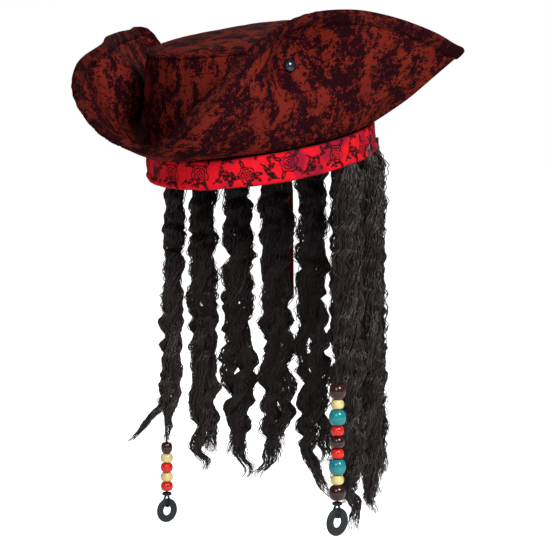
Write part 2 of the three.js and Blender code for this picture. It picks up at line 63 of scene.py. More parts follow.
def add_node(tree, kind, settings=None, inputs=None):
    """A new shader node with its settings, and its inputs set or linked."""
    made = tree.nodes.new(kind)
    for key, value in (settings or {}).items():
        setattr(made, key, value)
    for key, value in (inputs or {}).items():
        if isinstance(value, bpy.types.NodeSocket):
            tree.links.new(value, made.inputs[key])
        else:
            made.inputs[key].default_value = value
    return made


def new_material(name, roughness, **shader_inputs):
    """A material, its tree and its shader, whose plain values sit on the shader's own sockets."""
    made = bpy.data.materials.new(name)
    made.use_nodes = True
    shader = made.node_tree.nodes["Principled BSDF"]
    shader.inputs["Roughness"].default_value = roughness
    for key, value in shader_inputs.items():
        shader.inputs[key.replace("_", " ")].default_value = value
    return made, made.node_tree, shader


def object_place(tree):
    """Where a shaded point lies on its own object."""
    return add_node(tree, "ShaderNodeTexCoord").outputs["Object"]


def grain(tree, place, scale, detail, **more):
    """Noise from 0 to 1 whose scale counts waves per metre."""
    inputs = {"Vector": place, "Scale": scale, "Detail": detail, **more}
    return add_node(tree, "ShaderNodeTexNoise", None, inputs).outputs["Fac"]


def mixed(tree, share, low, high):
    """A colour between two others."""
    return add_node(tree, "ShaderNodeMix", {"data_type": "RGBA"}, {0: share, 6: low, 7: high}).outputs[2]


def bumped(tree, shader, height, strength, distance):
    """Raises a surface by a height from 0 to 1 over a distance in metres."""
    bump = add_node(tree, "ShaderNodeBump", None, {
        "Height": height, "Strength": strength, "Distance": distance})
    tree.links.new(bump.outputs[0], shader.inputs["Normal"])


def worn(tree, shader, scale, detail, low, high):
    """Varies a surface's roughness between two values."""
    wear = grain(tree, object_place(tree), scale, detail)
    rough = add_node(tree, "ShaderNodeMapRange", None, {"Value": wear, "To Min": low, "To Max": high})
    tree.links.new(rough.outputs[0], shader.inputs["Roughness"])


def stage_glow(tree, thrown, seen):
    """The stage's own light: how much it throws on the object, and how much is seen of it."""
    camera_ray = add_node(tree, "ShaderNodeLightPath").outputs["Is Camera Ray"]
    return add_node(tree, "ShaderNodeMapRange", None, {
        "Value": camera_ray, "To Min": thrown, "To Max": seen}).outputs[0]


VIEW_AZIMUTH, VIEW_ELEVATION = math.radians(34), math.radians(4.93)
VIEW_DISTANCE = 1.5
LENS = 120.6  # mm on a 36 mm sensor
to_camera = Vector((math.sin(VIEW_AZIMUTH) * math.cos(VIEW_ELEVATION),
                    -math.cos(VIEW_AZIMUTH) * math.cos(VIEW_ELEVATION), math.sin(VIEW_ELEVATION)))
view_right = Vector((math.cos(VIEW_AZIMUTH), math.sin(VIEW_AZIMUTH), 0))
view_target = view_right * 0.01216 + Vector((0, 0, -0.1176))
camera = bpy.data.objects.new("camera", bpy.data.cameras.new("camera"))
camera.data.lens = LENS
camera.data.sensor_width = 36
camera.location = view_target + to_camera * VIEW_DISTANCE
camera.rotation_euler = (-to_camera).to_track_quat("-Z", "Y").to_euler()
scene.collection.objects.link(camera)
scene.camera = camera

FLOOR_HEIGHT = -0.40
floor_mesh = bmesh.new()
bmesh.ops.create_grid(floor_mesh, x_segments=1, y_segments=1, size=12)
bmesh.ops.translate(floor_mesh, verts=floor_mesh.verts, vec=(0, 0, FLOOR_HEIGHT))
floor_data = bpy.data.meshes.new("floor")
floor_mesh.to_mesh(floor_data)
floor_mesh.free()
floor = bpy.data.objects.new("floor", floor_data)
scene.collection.objects.link(floor)
floor_paint, floor_tree, floor_shader = new_material(
    "studio_floor_matt_paint", 0.9, Base_Color=linear("FBFBFB"), Emission_Color=(1, 1, 1, 1))
floor_tree.links.new(stage_glow(floor_tree, 0.05, 0.95), floor_shader.inputs["Emission Strength"])
floor.data.materials.append(floor_paint)

world = bpy.data.worlds.new("studio")
world.use_nodes = True
paper = world.node_tree.nodes["Background"]
paper.inputs["Color"].default_value = (1, 1, 1, 1)
world.node_tree.links.new(stage_glow(world.node_tree, 0.17, 1.0), paper.inputs["Strength"])
scene.world = world


def add_lamp(name, place, size, power, aim=(0, 0, -0.08)):
    """A square soft box that looks at the hat."""
    lamp = bpy.data.objects.new(name, bpy.data.lights.new(name, "AREA"))
    lamp.data.size = size
    lamp.data.energy = power
    lamp.location = place
    lamp.rotation_euler = (Vector(aim) - Vector(place)).to_track_quat("-Z", "Y").to_euler()
    scene.collection.objects.link(lamp)


add_lamp("soft_box_key", (1.5, -0.55, 0.9), 0.6, 30)
add_lamp("soft_box_front", (0.5, -1.6, 0.5), 0.6, 8)
add_lamp("soft_box_back", (-0.6, 1.5, 1.1), 0.9, 12)

# ---------------------------------------------------------------------------
# Hat cloth
# Thin foam-backed suede cloth, printed in ragged dark patches on rust. All of the hat's own
# pieces are cut from it: crown, brim and edge strip. The eye gets a dull, deep surface with torn
# two-tone patches and hardly any shine.
HEAD_LENGTH, HEAD_WIDTH = 195, 163  # mm, inside the sweatband
TIP_FORWARD = Matrix.Rotation(math.radians(11), 4, "X")


def suede_cloth(name, base, base_light, dark, dark_share):
    """Napped polyester suede with a ragged two-tone print and a fine nap."""
    made, tree, shader = new_material(name, 0.95, Specular_IOR_Level=0.02)
    place = object_place(tree)
    stretched = add_node(tree, "ShaderNodeMapping", None, {"Vector": place, "Scale": (1, 1, 0.62)})
    # Patches about 15 mm across, their torn edges about 5 mm, and specks about 1 mm
    patches = grain(tree, stretched.outputs[0], 66, 9, Roughness=0.68, Distortion=0.45)
    rags = grain(tree, place, 210, 4, Roughness=0.75)
    speckle = grain(tree, place, 820, 2, Roughness=0.7)
    torn = add_node(tree, "ShaderNodeMath", {"operation": "MULTIPLY_ADD"}, {0: rags, 1: 0.7, 2: patches})
    speckled = add_node(tree, "ShaderNodeMath", {"operation": "MULTIPLY_ADD"}, {
        0: speckle, 1: 0.5, 2: torn.outputs[0]})
    edge = add_node(tree, "ShaderNodeMapRange", {"interpolation_type": "SMOOTHSTEP"}, {
        "Value": speckled.outputs[0], "From Min": dark_share - 0.03, "From Max": dark_share + 0.03})
    rust = mixed(tree, grain(tree, place, 38, 3), linear(base), linear(base_light))
    ink = mixed(tree, speckle, linear(dark), linear("260A10"))
    tree.links.new(mixed(tree, edge.outputs[0], rust, ink), shader.inputs["Base Color"])
    bumped(tree, shader, grain(tree, place, 900, 3), 0.35, 0.0006)
    return made


hat_cloth = suede_cloth("suede_cloth_rust_print", "5E1911", "76261B", "1C060B", 1.085)


def oval_point(angle, out, height):
    """A point of the oval that lies out mm beyond the head opening."""
    across, along = HEAD_WIDTH / 2 + out, HEAD_LENGTH / 2 + out
    return Vector((across * math.sin(angle), -along * math.cos(angle), height))


def oval_normal(angle, out):
    """The level direction straight out of that oval."""
    across = (HEAD_LENGTH / 2 + out) * math.sin(angle)
    along = -(HEAD_WIDTH / 2 + out) * math.cos(angle)
    return Vector((across, along, 0)).normalized()


def oval_reach(angle, out):
    """Distance from the centre to that oval at a true angle."""
    across, along = HEAD_WIDTH / 2 + out, HEAD_LENGTH / 2 + out
    return 1 / math.hypot(math.sin(angle) / across, math.cos(angle) / along)


def lofted(name, loops, ring, turn=None):
    """A closed skin over section loops of points in mm, which end in caps or meet in a ring."""
    rows, columns = len(loops), len(loops[0])
    shape = bmesh.new()
    bmesh.ops.create_grid(shape, x_segments=columns, y_segments=rows if ring else rows - 1, size=1)
    for v in shape.verts:
        column = round((v.co.x + 1) / 2 * columns) % columns
        row = round((v.co.y + 1) / 2 * (rows if ring else rows - 1)) % rows
        spot = loops[row][column]
        v.co = (turn @ spot if turn else spot) * MM
    bmesh.ops.remove_doubles(shape, verts=shape.verts, dist=0.00001)
    bmesh.ops.holes_fill(shape, edges=shape.edges, sides=0)
    bmesh.ops.recalc_face_normals(shape, faces=shape.faces)
    return finished(name, shape)


def finished(name, shape):
    """Puts a bmesh into the scene as a smooth piece."""
    data = bpy.data.meshes.new(name)
    shape.to_mesh(data)
    shape.free()
    data.shade_smooth()
    piece = bpy.data.objects.new(name, data)
    scene.collection.objects.link(piece)
    return piece


def points_of(piece):
    """The points of a piece, as rows in mm."""
    co = np.empty(len(piece.data.vertices) * 3)
    piece.data.vertices.foreach_get("co", co)
    return co.reshape(-1, 3) / MM


def cover(piece, material):
    """Gives a piece one material in place of any other."""
    piece.data.materials.clear()
    piece.data.materials.append(material)


def dress(piece, material, body="hat", nodes=()):
    """Gives a piece its material and slot, the body that it rides on and the solids that it shows."""
    cover(piece, material)
    if body:
        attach(piece, body)
    if nodes:
        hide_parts(*nodes)
    return piece


# ---------------------------------------------------------------------------
# Crown
# A side panel sewn to a slightly domed top panel, with the seam turned inside. Soft cloth over
# foam, so both panels have shallow dents.
CROWN_OUT, CROWN_WALL, CROWN_TAPER = 4.0, 2.5, 9
CROWN_SEAM, CROWN_DOME, SWEATBAND_TOP = 74, 8, 14


def crown_out(height):
    """How far the side panel stands outside the head opening at a height."""
    share = max(0, (height - SWEATBAND_TOP) / (CROWN_SEAM - SWEATBAND_TOP))
    return CROWN_OUT - CROWN_TAPER * share ** 2


def dented(point, depth, reach, seed=0):
    """How far soft cloth dips at a point, in mm, with dents about reach mm apart."""
    return depth * noise.noise(point / reach + Vector((seed, 2.3 * seed, 0)))


ROUND = 180  # steps round the head
side_loops = []
for i in range(ROUND):
    angle = 2 * math.pi * i / ROUND
    heights = np.linspace(-1.75, CROWN_SEAM, 24)
    outer, inner = [], []
    for height in heights:
        free = min(1, max(0, (height - 20) / 20)) * min(1, (CROWN_SEAM - height) / 14 + 0.1)
        spot = oval_point(angle, crown_out(height), height)
        out = crown_out(height) - 0.1 - abs(dented(spot, 1.8, 30)) * free
        outer.append(oval_point(angle, out, height))
        inner.append(oval_point(angle, crown_out(height) - CROWN_WALL - 0.4, height))
    side_loops.append(outer + inner[::-1])
crown_side = lofted("crown_side_cloth", side_loops, True, TIP_FORWARD)
dress(crown_side, hat_cloth, nodes=["crown_side_panel"])

rim_out = crown_out(CROWN_SEAM)
TOP_RINGS = 26


def top_loop(share, drop):
    """One ring of the top panel; its rim rolls over the seam."""
    loop = []
    for i in range(ROUND):
        p = oval_point(2 * math.pi * i / ROUND, rim_out - drop, 0)
        rise = CROWN_DOME * (1 - share ** 2.6) ** 0.75
        spot = Vector((p.x * share, p.y * share, CROWN_SEAM + 0.3 + rise - drop))
        spot.z -= abs(dented(spot, 3.2, 34, 4)) * math.sin(math.pi * min(1, share)) ** 0.5 * (drop == 0)
        loop.append(spot)
    return loop


top_shares = [0.02 + 0.98 * k / TOP_RINGS for k in range(TOP_RINGS + 1)]
top_rings = [top_loop(share, CROWN_WALL) for share in top_shares[:-1]]
top_rings += [top_loop(share, 0) for share in reversed(top_shares)]
crown_top = lofted("crown_top_cloth", top_rings, False, TIP_FORWARD)
dress(crown_top, hat_cloth, nodes=["crown_top_panel"])

# The welt that the crown's seam makes: both edges turned in under a narrow ridge.
WELT_RADIUS, WELT_PINCHES = 1.1, 90  # mm, and stitches round the seam
welt_loops = []
for i in range(ROUND * 2):
    angle = math.pi * i / ROUND
    middle, normal = oval_point(angle, rim_out - 0.4, CROWN_SEAM + 0.2), oval_normal(angle, rim_out)
    pinch = WELT_RADIUS * (1 + 0.16 * math.cos(angle * WELT_PINCHES))
    welt_loops.append([middle + normal * pinch * math.cos(turn) + Vector((0, 0, pinch * math.sin(turn)))
                       for turn in np.linspace(0, 2 * math.pi, 8, endpoint=False)])
crown_welt = lofted("crown_seam_welt", welt_loops, True, TIP_FORWARD)
dress(crown_welt, hat_cloth)

# ---------------------------------------------------------------------------
# Sweatband and hair tape
# A woven tape sewn inside the head opening, and the tape that the hair is sewn to, between the
# sweatband and the bandana. Fine level ribs catch the light.
def woven_tape(name, colour, thread_mm):
    """Plain woven polyester tape with level ribs."""
    made, tree, shader = new_material(name, 0.85, Specular_IOR_Level=0.25, Base_Color=linear(colour))
    ribs = add_node(tree, "ShaderNodeTexWave", {"bands_direction": "Z"}, {
        "Vector": object_place(tree), "Scale": 1000 / thread_mm / 3.2, "Distortion": 1.0})
    bumped(tree, shader, ribs.outputs["Fac"], 0.5, 0.0004)
    return made


sweat_tape = woven_tape("woven_tape_black_brown", "1E1716", 1.2)
hair_tape = woven_tape("woven_tape_black", "121012", 1.2)
cover(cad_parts["sweatband"], sweat_tape)
cover(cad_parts["hair_weft"], hair_tape)

# ---------------------------------------------------------------------------
# Brim
# One oval of the same cloth over a thin foam board, turned up in three flaps that make three
# points, and pinned to the crown. Its edge is bound with a folded strip, stitched twice.
BRIM_WALL, GAP, HOLE_EASE = 3.5, 0.3, 0.2
BRIM_HOLE_OUT = CROWN_OUT + GAP + HOLE_EASE
BRIM_ROOT_OUT = BRIM_HOLE_OUT + BRIM_WALL / 2
# Angle, reach from the centre, height on the wearer's left and right, and bow in degrees
BRIM_EDGE = [
    (0, 149, 16, 16, 26), (13, 159, 32, 32, 25), (25, 157, 60, 56, 22), (36, 142, 84, 73, 14),
    (49, 124, 96, 81, 6), (62, 117, 100, 84, 8), (76, 121, 96, 83, 12), (92, 136, 84, 81, 14),
    (103, 154, 68, 78, 12), (107, 164, 57, 77, 10), (109, 168, 53, 77, 9), (112, 164, 53, 75, 10),
    (116, 158, 54, 56, 11),
    (125, 149, 55, 30, 12), (140, 133, 57, 38, 12), (160, 117, 58, 50, 8), (180, 111, 58, 58, 5),
]
edge_rows = [(angle, reach, left, bow) for angle, reach, left, _, bow in BRIM_EDGE]
edge_rows += [(-angle, reach, right, bow) for angle, reach, _, right, bow in reversed(BRIM_EDGE[1:-1])]
EDGE_ROWS = len(edge_rows)
edge_spots = [Vector((reach * math.sin(math.radians(angle)), -reach * math.cos(math.radians(angle)), height))
              for angle, reach, height, _ in edge_rows]


def edge_point(t):
    """The brim's edge as a closed centripetal spline through its rows."""
    place = (t % 1) * EDGE_ROWS
    i = int(place)
    x = place - i
    p0, p1, p2, p3 = (edge_spots[(i + k) % EDGE_ROWS] for k in (-1, 0, 1, 2))
    d0, d1, d2 = ((b - a).length ** 0.5 for a, b in ((p0, p1), (p1, p2), (p2, p3)))
    t1 = ((p1 - p0) / d0 - (p2 - p0) / (d0 + d1) + (p2 - p1) / d1) * d1
    t2 = ((p2 - p1) / d1 - (p3 - p1) / (d1 + d2) + (p3 - p2) / d2) * d1
    return p1 + t1 * x + (p2 * 3 - p1 * 3 - t1 * 2 - t2) * x ** 2 + (p1 * 2 - p2 * 2 + t1 + t2) * x ** 3


def edge_bow(t):
    """How far the board bows out below a straight line at a place round the edge, in degrees."""
    place = (t % 1) * EDGE_ROWS
    row, share = int(place) % EDGE_ROWS, place % 1
    share = share * share * (3 - 2 * share)
    return edge_rows[row][3] * (1 - share) + edge_rows[(row + 1) % EDGE_ROWS][3] * share


UP = Vector((0, 0, 1))


def brim_base(t, s):
    """The middle of the board before the studs pull it in: t round the edge, s from root to edge."""
    edge = edge_point(t)
    outward = Vector((edge.x, edge.y, 0)).normalized()
    root = outward * oval_reach(math.atan2(edge.x, -edge.y), BRIM_ROOT_OUT)
    chord = edge - root
    slope = math.atan2(chord.z, chord.dot(outward))
    bow = math.radians(edge_bow(t))
    low, high = slope - bow, slope + bow * 0.6
    p1 = root + (outward * math.cos(low) + UP * math.sin(low)) * chord.length / 3
    p2 = edge - (outward * math.cos(high) + UP * math.sin(high)) * chord.length / 3
    r = 1 - s
    return root * r ** 3 + p1 * 3 * r * r * s + p2 * 3 * r * s * s + edge * s ** 3


STUD_ROWS = {"left": 4.5, "right": -4.5, "rear": 16}
STUD_HEIGHT = {"left": 67, "right": 44, "rear": 36}
STUD_DIMPLE = 30
studs = []
for stud_side, row in STUD_ROWS.items():
    t = (row % EDGE_ROWS) / EDGE_ROWS
    low, high = 0, 1
    while high - low > 1e-4:
        s = (low + high) / 2
        low, high = (s, high) if brim_base(t, s).z < STUD_HEIGHT[stud_side] else (low, s)
    base = brim_base(t, low)
    out = crown_out(base.z)
    angle = math.atan2(base.x / (HEAD_WIDTH / 2 + out), -base.y / (HEAD_LENGTH / 2 + out))
    lean = math.atan(crown_out(base.z - 0.5) - crown_out(base.z + 0.5))
    normal = oval_normal(angle, out) * math.cos(lean) + UP * math.sin(lean)
    seat = oval_point(angle, out, base.z) + normal * (GAP + BRIM_WALL / 2)
    studs.append((stud_side, t, low, base, normal, seat))


def brim_point(t, s, soft=False):
    """The board's middle as pinned; soft adds the cloth's own shallow waves."""
    point = brim_base(t, s)
    pinned = 0
    for _, _, _, base, normal, seat in studs:
        share = math.exp(-(((point - base).length / STUD_DIMPLE) ** 3))
        point = point - normal * (point - seat).dot(normal) * share
        pinned = max(pinned, share)
    if soft:
        free = min(1, s * 2.2) * (1 - pinned)
        outward = Vector((point.x, point.y, 0)).normalized()
        point = point + outward * dented(point, 2.2, 46, 2) * free + UP * dented(point, 1.2, 38, 7) * free
    return point


def brim_frame(t, s):
    """Directions on the board: across it towards the edge, and out of its lower face."""
    low = min(s, 0.999)
    across = (brim_point(t, low + 1e-3) - brim_point(t, low)).normalized()
    along = (brim_point(t + 1e-3, s) - brim_point(t - 1e-3, s)).normalized()
    return across, -across.cross(along).normalized()


BINDING_WIDTH, BINDING_WALL = 8, 0.7
EDGE_STEPS = 360
brim_loops, binding_loops = [], []
for i in range(EDGE_STEPS):
    t = i / EDGE_STEPS
    inner_edge = 1 - 0.1 * BINDING_WIDTH / (brim_point(t, 1) - brim_point(t, 0.9)).length
    places = list(np.linspace(0, 1, 25) ** 0.9 * inner_edge) + [1]
    below, above = [], []
    for s in places:
        point, (_, down) = brim_point(t, s, True), brim_frame(t, s)
        if s == 0:
            level = Vector((point.x, point.y, 0))
            point = level.normalized() * (oval_reach(math.atan2(point.x, -point.y), BRIM_HOLE_OUT) + 0.2)
        below.append(point + down * BRIM_WALL / 2)
        above.append(point - down * BRIM_WALL / 2)
    brim_loops.append(below + above[::-1])
    near = BRIM_WALL / 2 + 0.1
    far = near + BINDING_WALL + 0.25
    profile = [(-BINDING_WIDTH, near), (-BINDING_WIDTH - 0.5, near + 0.4), (-BINDING_WIDTH + 0.6, far),
               (-BINDING_WIDTH / 2, far + 0.25), (-0.6, far)]
    profile += [(far * 0.9 * math.sin(turn) - 0.4, far * math.cos(turn))
                for turn in np.linspace(0.5, 2.64, 6)]
    profile += [(-0.6, -far), (-BINDING_WIDTH / 2, -far - 0.25), (-BINDING_WIDTH + 0.6, -far),
                (-BINDING_WIDTH - 0.5, -near - 0.4), (-BINDING_WIDTH, -near), (-0.3, -near), (-0.3, near)]
    loop = []
    width = (brim_point(t, 1) - brim_point(t, inner_edge)).length
    ruffle = 1 + 0.12 * math.sin(i * 1.9) + 0.1 * noise.noise(Vector((i * 0.6, 0, 0)))
    for across, down in profile:
        s = 1 + min(0, across) / BINDING_WIDTH * (1 - inner_edge)
        sheet_across, sheet_down = brim_frame(t, min(1, s))
        spot = brim_point(t, min(1, max(0, s)), True) + sheet_across * max(0, across)
        loop.append(spot + sheet_down * (down * (ruffle if abs(down) > near + 0.5 else 1)))
    binding_loops.append(loop)
brim = lofted("brim_cloth", brim_loops, True, TIP_FORWARD)
dress(brim, hat_cloth, nodes=["brim"])
edge_cloth = suede_cloth("suede_cloth_edge_strip", "4A1612", "5C2018", "180609", 1.07)
binding = lofted("brim_edge_strip", binding_loops, True, TIP_FORWARD)
dress(binding, edge_cloth, nodes=["brim_binding"])

# Topstitching: two rows of dark thread on each face of the edge strip.
STITCH_LENGTH, STITCH_RADIUS = 2.6, 0.32
STITCH_ROWS = (0.26, 0.8)  # places across the edge strip, from the brim's edge inwards
thread_shape = bmesh.new()
for i in range(EDGE_STEPS):
    t = (i + 0.5) / EDGE_STEPS
    inner_edge = 1 - 0.1 * BINDING_WIDTH / (brim_point(t, 1) - brim_point(t, 0.9)).length
    for share in STITCH_ROWS:
        s = 1 - share * (1 - inner_edge)
        across, down = brim_frame(t, s)
        along = down.cross(across).normalized()
        middle = brim_point(t, s, True)
        length = (brim_point(t + 0.5 / EDGE_STEPS, s) - brim_point(t - 0.5 / EDGE_STEPS, s)).length
        for face in (1, -1):
            spot = TIP_FORWARD @ (middle + down * face * (BRIM_WALL / 2 + BINDING_WALL + 0.42))
            made = bmesh.ops.create_icosphere(thread_shape, subdivisions=1, radius=STITCH_RADIUS * MM)
            stretch = Matrix.Diagonal((min(STITCH_LENGTH, length) / 2 / STITCH_RADIUS, 1, 0.8, 1))
            axes = Matrix((along, across, down)).transposed().to_4x4()
            bmesh.ops.transform(thread_shape, verts=made["verts"],
                                matrix=Matrix.Translation(spot * MM) @ TIP_FORWARD @ axes @ stretch)
thread = finished("brim_topstitching", thread_shape)
# Spun polyester thread, nearly black: small dull grains in a line.
dark_thread, _, _ = new_material(
    "polyester_thread_dark", 0.8, Specular_IOR_Level=0.05, Base_Color=linear("0E0506"))
dress(thread, dark_thread)

# ---------------------------------------------------------------------------
# Studs
# Glossy domed caps whose posts run through a flap and the crown into a plain washer. Black enamel
# on stamped metal gives a sharp highlight on a dark blue-grey, with faint wear.
STUD_DIAMETER, STUD_DOME, STUD_SEAT, WASHER_WALL, STUD_POST = 10.7, 3, 1.3, 1.2, 3
stud_gloss, stud_tree, stud_shader = new_material(
    "black_enamel_stud", 0.16, Coat_Weight=0.5, Coat_Roughness=0.08, Metallic=0.35,
    Base_Color=linear("1C242E"))
worn(stud_tree, stud_shader, 500, 3, 0.12, 0.3)
steel, steel_tree, steel_shader = new_material(
    "stamped_steel_washer", 0.4, Metallic=1.0, Base_Color=linear("8A8C8E"))
worn(steel_tree, steel_shader, 900, 2, 0.3, 0.55)


def turned(name, profile, steps, place):
    """A solid turned about Z from a profile of (radius, height) in mm, then put in its place."""
    shape = bmesh.new()
    verts = [shape.verts.new((radius * MM, 0, height * MM)) for radius, height in profile]
    edges = [shape.edges.new(pair) for pair in zip(verts, verts[1:])]
    bmesh.ops.spin(shape, geom=verts + edges, cent=(0, 0, 0), axis=(0, 0, 1), angle=2 * math.pi,
                   steps=steps, use_merge=True)
    bmesh.ops.remove_doubles(shape, verts=shape.verts, dist=0.000005)
    bmesh.ops.recalc_face_normals(shape, faces=shape.faces)
    bmesh.ops.transform(shape, verts=shape.verts, matrix=place)
    return finished(name, shape)


for stud_side, t, s, _, normal, _ in studs:
    face = TIP_FORWARD @ (brim_point(t, s) + normal * BRIM_WALL / 2)
    axis = (TIP_FORWARD @ normal).to_track_quat("Z", "Y").to_matrix().to_4x4()
    reach = BRIM_WALL + GAP + CROWN_WALL + STUD_SEAT + WASHER_WALL
    radius = STUD_DIAMETER / 2
    profile = [(0, -reach), (STUD_POST / 2, -reach), (STUD_POST / 2, -0.4), (radius * 0.86, -0.4),
               (radius * 0.97, 0), (radius, 0.5)]
    profile += [(radius * math.cos(turn), 0.5 + (STUD_SEAT + STUD_DOME - 0.5) * math.sin(turn))
                for turn in np.linspace(0.12, math.pi / 2 - 0.1, 9)]
    profile += [(0, STUD_SEAT + STUD_DOME)]
    cap = turned(f"stud_{stud_side}", profile, 40, Matrix.Translation(face * MM) @ axis)
    dress(cap, stud_gloss, nodes=[f"stud_cap_{stud_side}"])
    cover(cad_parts[f"stud_washer_{stud_side}"], steel)

# ---------------------------------------------------------------------------
# Bandana band
# A printed cotton kerchief folded to a soft roll round the head and tacked under the brim. The
# print is black line drawing on red: roses, leaves, vines and drops.
WEFT_OUT = 3.3
BAND_IN, BAND_OUT, BAND_BOTTOM, BAND_TOP = WEFT_OUT + GAP, 7.0, 26.5, BRIM_WALL / 2 + 1.6


def ink_at(along, up):
    """How much of the drawn line covers a place on the cloth, 0 to 1; both in mm."""
    line = np.full(along.shape, 9.0)

    def draw(distance):
        np.minimum(line, np.abs(distance), out=line)

    tile = 116.0

    def near(cx, cy, turn=0.0):
        """Places seen from a motif's own middle and direction."""
        px, py = (along - cx + tile / 2) % tile - tile / 2, up - cy
        c, d = math.cos(turn), math.sin(turn)
        return px * c + py * d, py * c - px * d

    def leaf(cx, cy, turn, size):
        """A dark leaf with a light middle vein and notched edges."""
        lx, ly = near(cx + size * math.cos(turn), cy + size * math.sin(turn), turn)
        bow = np.hypot(lx / size, ly / (size * 0.42)) + 0.12 * np.sin(lx * 5)
        draw(np.where((bow < 1) & (np.abs(ly) > 0.35), 0, (bow - 1) * size * 0.5))

    def rose(cx, cy, size, turn):
        """Rings of petals in line round a small heart."""
        px, py = near(cx, cy, turn)
        r, a = np.hypot(px, py), np.arctan2(py, px)
        for ring, petals, shift in ((1.0, 5, 0.2), (0.68, 4, 0.9), (0.36, 3, 0.1)):
            draw((r - size * ring * (0.82 + 0.22 * np.abs(np.sin(a * petals / 2 + shift)))) * 1.15)
        draw(np.where((r > 0.5 * size) & (r < 0.66 * size), np.abs(np.sin(a * 9)) * 2, 9))
        draw(r - 0.4)

    def stem(cx, cy, turn, long, bend):
        """A bent stalk with paired leaves and a curled end."""
        px, py = near(cx, cy, turn)
        line_y = bend * (px / long) ** 2 * long
        draw(np.where((px > 0) & (px < long), py - line_y, 9))
        for k in range(3):
            at = long * (0.3 + 0.3 * k)
            rise = bend * (at / long) ** 2 * long
            wx = cx + at * math.cos(turn) - rise * math.sin(turn)
            wy = cy + at * math.sin(turn) + rise * math.cos(turn)
            leaf(wx, wy, turn + (0.9 if k % 2 else -0.9), 1.9)

    def star(cx, cy, size):
        """A small open flower of rays round a dot."""
        px, py = near(cx, cy)
        r, a = np.hypot(px, py), np.arctan2(py, px)
        draw(np.where(r < size, np.abs(np.sin(a * 3.5)) * r * 0.6, 9))
        draw(r - 0.3)

    def drop(cx, cy, turn, size):
        """A paisley drop: an outline, an inner line and dots."""
        px, py = near(cx, cy, turn)
        bent = px + 0.09 * py ** 2
        body = np.hypot(bent / (0.5 * size - 0.08 * py), py / size)
        draw((body - 1) * size * 0.6)
        draw((body - 0.58) * size * 0.6)
        draw(np.hypot(px, py + size * 0.3) - 0.4)

    for cx, cy, size, turn in ((12, 13, 7.2, 0.3), (49, 10, 6.2, 1.4), (83, 14.5, 7.4, 2.2)):
        rose(cx, cy, size, turn)
        for k in range(4):
            around = turn + 1.45 * k + 0.5
            leaf(cx + size * math.cos(around), cy + size * math.sin(around), around, 2.6)
    stems = ((22, 5, 0.55, 14, 0.3), (60, 17, -0.5, 13, -0.3), (98, 18, -0.7, 13, 0.35),
             (40, 20, 2.6, 9, 0.3), (74, 4, 2.9, 10, -0.25), (28, 12, -0.4, 11, 0.4),
             (66, 12, 1.1, 10, 0.3), (92, 4, 0.3, 12, 0.3), (110, 14, 1.0, 9, -0.3),
             (4, 4, 0.5, 10, -0.3), (46, 3, 0.2, 12, 0.2))
    for cx, cy, turn, long, bend in stems:
        stem(cx, cy, turn, long, bend)
    for cx, cy, size in ((30, 17.5, 2.6), (67, 8, 2.4), (111, 6, 2.8), (3, 21, 2.2), (57, 22, 2.0)):
        star(cx, cy, size)
    drop(36, 8, 0.5, 4.6)
    drop(104, 8.5, -0.6, 5.2)
    return np.clip((0.72 - line) / 0.34, 0, 1)


def printed_cotton(name, red, shaded, ink_colour):
    """Plain weave cotton with a black print, darker and purplish in soft patches."""
    made, tree, shader = new_material(name, 0.85, Specular_IOR_Level=0.12)
    place = object_place(tree)
    patch = add_node(tree, "ShaderNodeMapRange", {"interpolation_type": "SMOOTHSTEP"}, {
        "Value": grain(tree, place, 45, 4), "From Min": 0.47, "From Max": 0.62, "To Max": 0.75})
    cloth = mixed(tree, patch.outputs[0], linear(red), linear(shaded))
    ink = add_node(tree, "ShaderNodeAttribute", {"attribute_name": "ink"}).outputs["Fac"]
    tree.links.new(mixed(tree, ink, cloth, linear(ink_colour)), shader.inputs["Base Color"])
    bumped(tree, shader, grain(tree, place, 1400, 1), 0.3, 0.0004)
    return made


def print_on(piece, along, up):
    """Stores the print's ink on a piece's points."""
    ink = piece.data.attributes.new("ink", "FLOAT", "POINT")
    ink.data.foreach_set("value", ink_at(along, up).astype(np.float32))


red_cotton = printed_cotton("cotton_red_printed", "D60F20", "6A0E2C", "12040A")

BAND_STEPS = 1240
OUTSIDE, INSIDE = 44, 8
band_loops = []
length = 0
last = None
for i in range(BAND_STEPS):
    angle = 2 * math.pi * i / BAND_STEPS
    here = oval_point(angle, BAND_OUT, 0)
    length += (here - last).length if last else 0
    last = here
    sag = 0.9 * noise.noise(Vector((math.sin(angle) * 4, math.cos(angle) * 4, 0)))
    sag += 0.5 * noise.noise(Vector((math.sin(angle) * 13, math.cos(angle) * 13, 3)))
    loop = []
    for k in range(OUTSIDE + 1):
        share = k / OUTSIDE
        height = -BAND_TOP - (BAND_BOTTOM - BAND_TOP) * share
        roll = 1.7 * math.exp(-((share - 0.86) / 0.1) ** 2) - 0.5 * math.exp(-((share - 0.68) / 0.06) ** 2)
        round_off = 2.6 * (max(0, (share - 0.93) / 0.07) ** 2 + max(0, (0.06 - share) / 0.06) ** 2)
        crease = 0.8 * noise.noise(Vector((length / 16, height / 5, 1.5)) + Vector((height / 16, 0, 0)))
        crease -= 0.55 * max(0, noise.noise(Vector((length / 7 + height / 9, height / 22, 9))) - 0.1)
        out = BAND_OUT - 0.5 + roll * (0.7 + 0.3 * sag) - round_off + crease * min(1, share * 4)
        loop.append(oval_point(angle, out, height - sag * 0.8 * share ** 2))
    for k in range(INSIDE):
        share = 1 - (k + 0.5) / INSIDE
        loop.append(oval_point(angle, BAND_IN + 0.1, -BAND_TOP - (BAND_BOTTOM - 0.7 - BAND_TOP) * share))
    band_loops.append(loop)
band = lofted("bandana_band_cloth", band_loops, True, TIP_FORWARD)
co = points_of(band) @ np.array(TIP_FORWARD.inverted().to_3x3()).T
